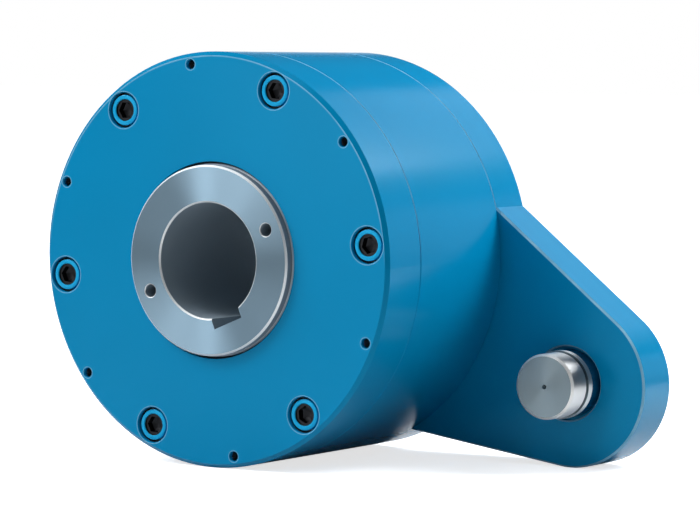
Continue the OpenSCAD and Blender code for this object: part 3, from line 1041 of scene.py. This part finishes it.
@dataclass
class Studio:
    """A pale floor and a white backdrop in a dim room, softboxes and the photograph's viewpoint.

    The keys stand behind on the right and light the top, and the fills light the front. The strip
    draws the bright sectors on the inner ring's face, and the sheens show in the paint and the pin.
    """

    lens_px: float = 3367.7
    frame_px: float = 700.0
    sensor: float = 36.0
    level_place: tuple[float, float, float] = (1.00201, -1.48525, 0.0973)
    azimuth: float = 32.9465
    pitch_down: float = 3.175
    roll: float = 0.5266
    floor_size: float = 30.0
    floor_white: float = 0.8
    floor_bounce: float = 0.5
    floor_glow: float = 0.72
    # The distances from the object, in metres, over which the floor's shadow fades out.
    shadow_reach: tuple[float, float] = (0.4, 0.9)
    # For each span of distances, the share of the paper's light that gloss still sees beyond it.
    paper_fades: dict[tuple[float, float], float] = field(
        default_factory=lambda: {(0.35, 0.8): 0.65, (1.0, 3.0): 0.5})
    ambient: float = 0.2
    # The light that gloss sees in the room, and on its wall to the left of the camera.
    room: float = 0.04
    wall: float = 0.43
    wall_azimuth: float = -35.0
    # The cosines of the angle from its middle between which the wall, or the backdrop, fades in.
    wall_edge: tuple[float, float] = (0.4, 0.8)
    backdrop_edge: tuple[float, float] = (0.985, 0.998)
    softboxes: tuple[Softbox, ...] = (
        Softbox("key_behind_right", 139.0, 40.0, 27.0),
        Softbox("key_near_right", 138.0, 40.0, 6.0, width=0.5, height=0.5, distance=0.9,
                in_gloss=False),
        Softbox("fill_high_left", -55.0, 40.0, 35.0),
        Softbox("fill_high_front", -20.0, 60.0, 7.0),
        Softbox("strip_front_left", -28.5, 25.0, 6.0, width=1.26, height=0.3),
        Softbox("sheen_on_faces", -26.0, 6.0, 2.6, width=0.6, height=0.6),
        Softbox("sheen_on_rims", 149.0, 7.0, 0.5, width=0.6, height=0.6),
        Softbox("sheen_on_pin", 172.0, 31.0, 0.9, width=1.2, height=0.4),
        Softbox("back_left", -120.0, 35.0, 10.0, in_gloss=False),
    )

    def camera(self) -> None:
        """Sets the camera where the photograph was taken from."""
        data = bpy.data.cameras.new("camera")
        data.sensor_width = self.sensor
        data.lens = self.lens_px / self.frame_px * self.sensor
        data.clip_end = 100.0
        camera = put_in_scene(data, "camera")
        camera.matrix_world = (Matrix.Rotation(math.radians(-self.roll), 4, "Y")
                               @ Matrix.Translation(self.level_place)
                               @ Matrix.Rotation(math.radians(self.azimuth), 4, "Z")
                               @ Matrix.Rotation(math.radians(90 - self.pitch_down), 4, "X"))
        bpy.context.scene.camera = camera

    @staticmethod
    def reflected(tree: NodeTree) -> tuple[Feed, Feed]:
        """Tells the camera's own rays, and those that gloss and glass pass on, from the light's.

        Args:
            tree: The tree of the world or of the floor.

        Returns:
            1 for a camera ray, and 1 for a glossy or a transmission ray.
        """
        path = add_node(tree, "ShaderNodeLightPath")
        passed_on = add_node(tree, MATH,
                             {0: path.outputs["Is Glossy Ray"], 1: path.outputs["Is Transmission Ray"]},
                             operation="MAXIMUM")
        return path.outputs["Is Camera Ray"], passed_on

    @staticmethod
    def level(azimuth: float) -> Vector:
        """Gives the level way to an azimuth, counted in degrees from the front towards the right."""
        return Vector((math.sin(math.radians(azimuth)), -math.cos(math.radians(azimuth)), 0.0))

    def world(self) -> None:
        """Lights the air evenly, and shows the camera plain white.

        Gloss sees a dim room instead, with a white backdrop behind the object and a wall on the left.
        """
        world = bpy.data.worlds.new("studio")
        tree = empty_tree(world)
        seen, passed_on = self.reflected(tree)
        way = add_node(tree, "ShaderNodeTexCoord").outputs["Generated"]
        patches = ((-self.level(self.azimuth), self.backdrop_edge, 0.0, 1.0),
                   (self.level(self.wall_azimuth), self.wall_edge, self.room, self.wall))
        lights = []
        for middle, (edge, full), dim, bright in patches:
            facing = add_node(tree, VECTOR_MATH, {0: way, 1: middle}, operation="DOT_PRODUCT")
            lights.append(add_node(tree, MAP_RANGE,
                                   {"Value": facing.outputs["Value"], "From Min": edge,
                                    "From Max": full, "To Min": dim, "To Max": bright}))
        backdrop, wall = lights
        brighter = add_node(tree, MATH, {0: backdrop, 1: wall}, operation="MAXIMUM")
        unseen = add_node(tree, MIX,
                          {"Factor_Float": passed_on, "A_Float": self.ambient, "B_Float": brighter})
        strength = add_node(tree, MIX, {"Factor_Float": seen, "A_Float": unseen, "B_Float": 1.0})
        air = add_node(tree, "ShaderNodeBackground", {"Color": (1.0, 1.0, 1.0, 1.0),
                                                      "Strength": strength})
        add_node(tree, "ShaderNodeOutputWorld", {"Surface": air})
        bpy.context.scene.world = world

    def floor(self, height: float) -> None:
        """Lays the floor under the object.

        Args:
            height: The lowest point of the object.
        """
        half = self.floor_size / 2
        mesh = bpy.data.meshes.new("floor")
        corners = [(x * half, y * half, height) for x, y in ((-1, -1), (1, -1), (1, 1), (-1, 1))]
        mesh.from_pydata(corners, [], [(0, 1, 2, 3)])
        floor = put_in_scene(mesh, "floor")
        mesh.materials.append(self.paper())

    def paper(self) -> Material:
        """Makes the floor's white paper, whose shadow fades out to plain white round the object.

        To gloss the paper darkens away from the object, and to soft light it is greyer than it looks, as
        under a studio's flags.

        Returns:
            The paper's material.
        """
        made = bpy.data.materials.new("white_paper")
        tree = empty_tree(made)
        seen, passed_on = self.reflected(tree)
        place = add_node(tree, "ShaderNodeTexCoord").outputs["Object"]
        away = add_node(tree, VECTOR_MATH, {0: place}, operation="LENGTH").outputs["Value"]
        near, far = self.shadow_reach
        glow = add_node(tree, MAP_RANGE,
                        {"Value": away, "From Min": near, "From Max": far,
                         "To Min": self.floor_glow, "To Max": 1.0})
        in_gloss = passed_on
        for (close, off), share in self.paper_fades.items():
            fade = add_node(tree, MAP_RANGE,
                            {"Value": away, "From Min": close, "From Max": off,
                             "To Min": 1.0, "To Max": share})
            in_gloss = add_node(tree, MATH, {0: in_gloss, 1: fade}, operation="MULTIPLY")
        shown = add_node(tree, MATH, {0: seen, 1: in_gloss}, operation="MAXIMUM")
        grey = add_node(tree, MIX,
                        {"Factor_Float": passed_on, "A_Float": self.floor_bounce, "B_Float": 0.0})
        white = add_node(tree, MIX,
                         {"Factor_Float": shown, "A_Float": grey, "B_Float": self.floor_white})
        lit = add_node(tree, "ShaderNodeBsdfDiffuse", {"Color": white})
        strength = add_node(tree, MATH, {0: glow, 1: seen}, operation="MULTIPLY")
        shine = add_node(tree, "ShaderNodeEmission",
                         {"Color": (1.0, 1.0, 1.0, 1.0), "Strength": strength})
        both = add_node(tree, "ShaderNodeAddShader", {0: lit, 1: shine})
        add_node(tree, "ShaderNodeOutputMaterial", {"Surface": both})
        return made

    def build(self) -> None:
        """Sets the camera, the lamps, the world and the floor."""
        bpy.context.scene.view_settings.view_transform = "Standard"
        self.camera()
        for softbox in self.softboxes:
            softbox.hang()
        self.world()
        self.floor(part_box("outer_ring")[0].z)


@dataclass
class Backstop:
    """The backstop's finishes, by the CAD nodes that wear them."""

    nodes: dict[str, Object]
    bodies: dict[str, str]
    blue: str = "#0085B8"
    gloss: float = 0.2
    counterbore: float = 9.3 * MM
    small_hole: float = 2.5 * MM
    small_circle: float = 101.7 * MM
    small_clock: float = -8.065

    def wear(self, finish: Finish, *names: str) -> None:
        """Gives CAD nodes a finish.

        Args:
            finish: The finish that they all take.
            names: The CAD nodes' names.
        """
        made = finish.material()
        for name in names:
            materials = self.nodes[name].data.materials
            materials.clear()
            materials.append(made)
        LOG.info("%s on %s", finish.name, ", ".join(names))

    def dress_housing(self) -> None:
        """Finishes the painted housing, its screws and its pin."""
        screws = CapScrews()
        holes = (HoleRow(screws.count, screws.circle, screws.first_clock, self.counterbore),
                 HoleRow(screws.count, self.small_circle, self.small_clock, self.small_hole,
                         only_in_front=True))
        self.wear(EnamelledHousing("machine_enamel_on_steel", self.blue, self.gloss,
                                   rim_radius=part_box("outer_ring")[1].x, end=-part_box("front_cover")[0].y,
                                   holes=holes),
                  "front_cover", "outer_ring", "torque_arm")
        # Black-oxide screws, sprayed over with the cover: pale blue rings round black sockets. The heads'
        # paler blue than the cover's is a painted highlight.
        screws.build(ScrewEnamel("enamelled_screw_steel", "#18A4DA", self.gloss))
        # Free-cutting steel, turned and faced: bright bands along the side, and a quiet grey end. The
        # near-white side, the darker grey end and the pale edges are painted highlight and painted shade on
        # one steel.
        low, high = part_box("reaction_pin")
        turned = FacedSteel("bright_turned_steel", "#F0F2F3", 0.48, edge="#F0F2F3", face="#7A888F",
                            axis=((low.x + high.x) / 2, (low.z + high.z) / 2), face_stretch=0.6,
                            face_roughness=0.32)
        # The pin's root takes a dark blue that is painted shade; its rear end takes the arm's blue.
        self.wear(PaintedPin("turned_steel_painted_at_its_root", "#00476B", self.gloss, steel=turned,
                             rear=self.blue), "reaction_pin")

    def dress_rotor(self) -> None:
        """Finishes the inner ring, the cage and what grips it."""
        # Case-hardened steel, ground: bright sectors on the faces. A film of oil dulls the rest. Its pale
        # edges are a painted highlight.
        self.wear(FacedSteel("ground_steel", "#8898A4", 0.8, stretch=0.0, side_bare=0.3), "inner_ring")
        # Deep-drawn steel strip: plain grey.
        self.wear(WorkedSteel("pressed_cage_steel", "#808388", 0.42), "sprag_cage")
        # Phosphated spring steel, and dowels and a shim treated alike: nearly black, and dull.
        self.wear(WorkedSteel("phosphated_clip_steel", "#3A3C3F", 0.5),
                  "front_retaining_ring", "rear_retaining_ring", "arm_dowels", "bearing_shim")
        # Drawn, hardened and tumbled steel: dark grey with a soft shine.
        sprags = sorted(name for name in self.nodes if name.startswith("sprag_") and name[6:].isdigit())
        self.wear(WorkedSteel("hardened_sprag_steel", "#6E7276", 0.3), *sprags)
        # Hard-drawn wire: a fine row of bright lines.
        CoilSprings().build(WorkedSteel("drawn_spring_wire", "#8C9094", 0.3), self.bodies)

    def dress_bearings(self) -> None:
        """Finishes the bearings, the seals and the O-rings."""
        # Honed bearing steel: almost a mirror, drawn out across the honing.
        races = [f"{end}_bearing_{race}_race"
                 for end in ("front", "rear") for race in ("inner", "outer")]
        self.wear(TurnedSteel("honed_bearing_steel", "#C2C6CA", 0.18), *races)
        # Lapped bearing steel: small mirrors.
        self.wear(WorkedSteel("polished_ball_steel", "#C9CCD0", 0.06, grain_um=0.5),
                  "front_balls", "rear_balls")
        # Unfilled polyamide: a warm ivory that lets a little light in.
        self.wear(Moulded("moulded_polyamide", "#D9D0B4", 0.45, glow=0.15),
                  "front_ball_cage", "rear_ball_cage")
        # Moulded nitrile rubber: dull black.
        rubber = [f"{end}_{piece}" for end in ("front", "rear") for piece in ("seal", "o_ring")]
        self.wear(Moulded("nitrile_rubber", "#141517", 0.5), *rubber)


def main() -> None:
    """Loads the frame, dresses it and sets up the studio."""
    logging.basicConfig(level=logging.INFO, format="%(name)s: %(message)s")
    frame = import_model()
    members = frame["record"]["behaviour"]["bodies"]
    bodies = {node: body for body, nodes in members.items() for node in nodes}
    backstop = Backstop(frame["nodes"], bodies)
    backstop.dress_housing()
    backstop.dress_rotor()
    backstop.dress_bearings()
    Studio().build()


if __name__ == "__main__":
    main()
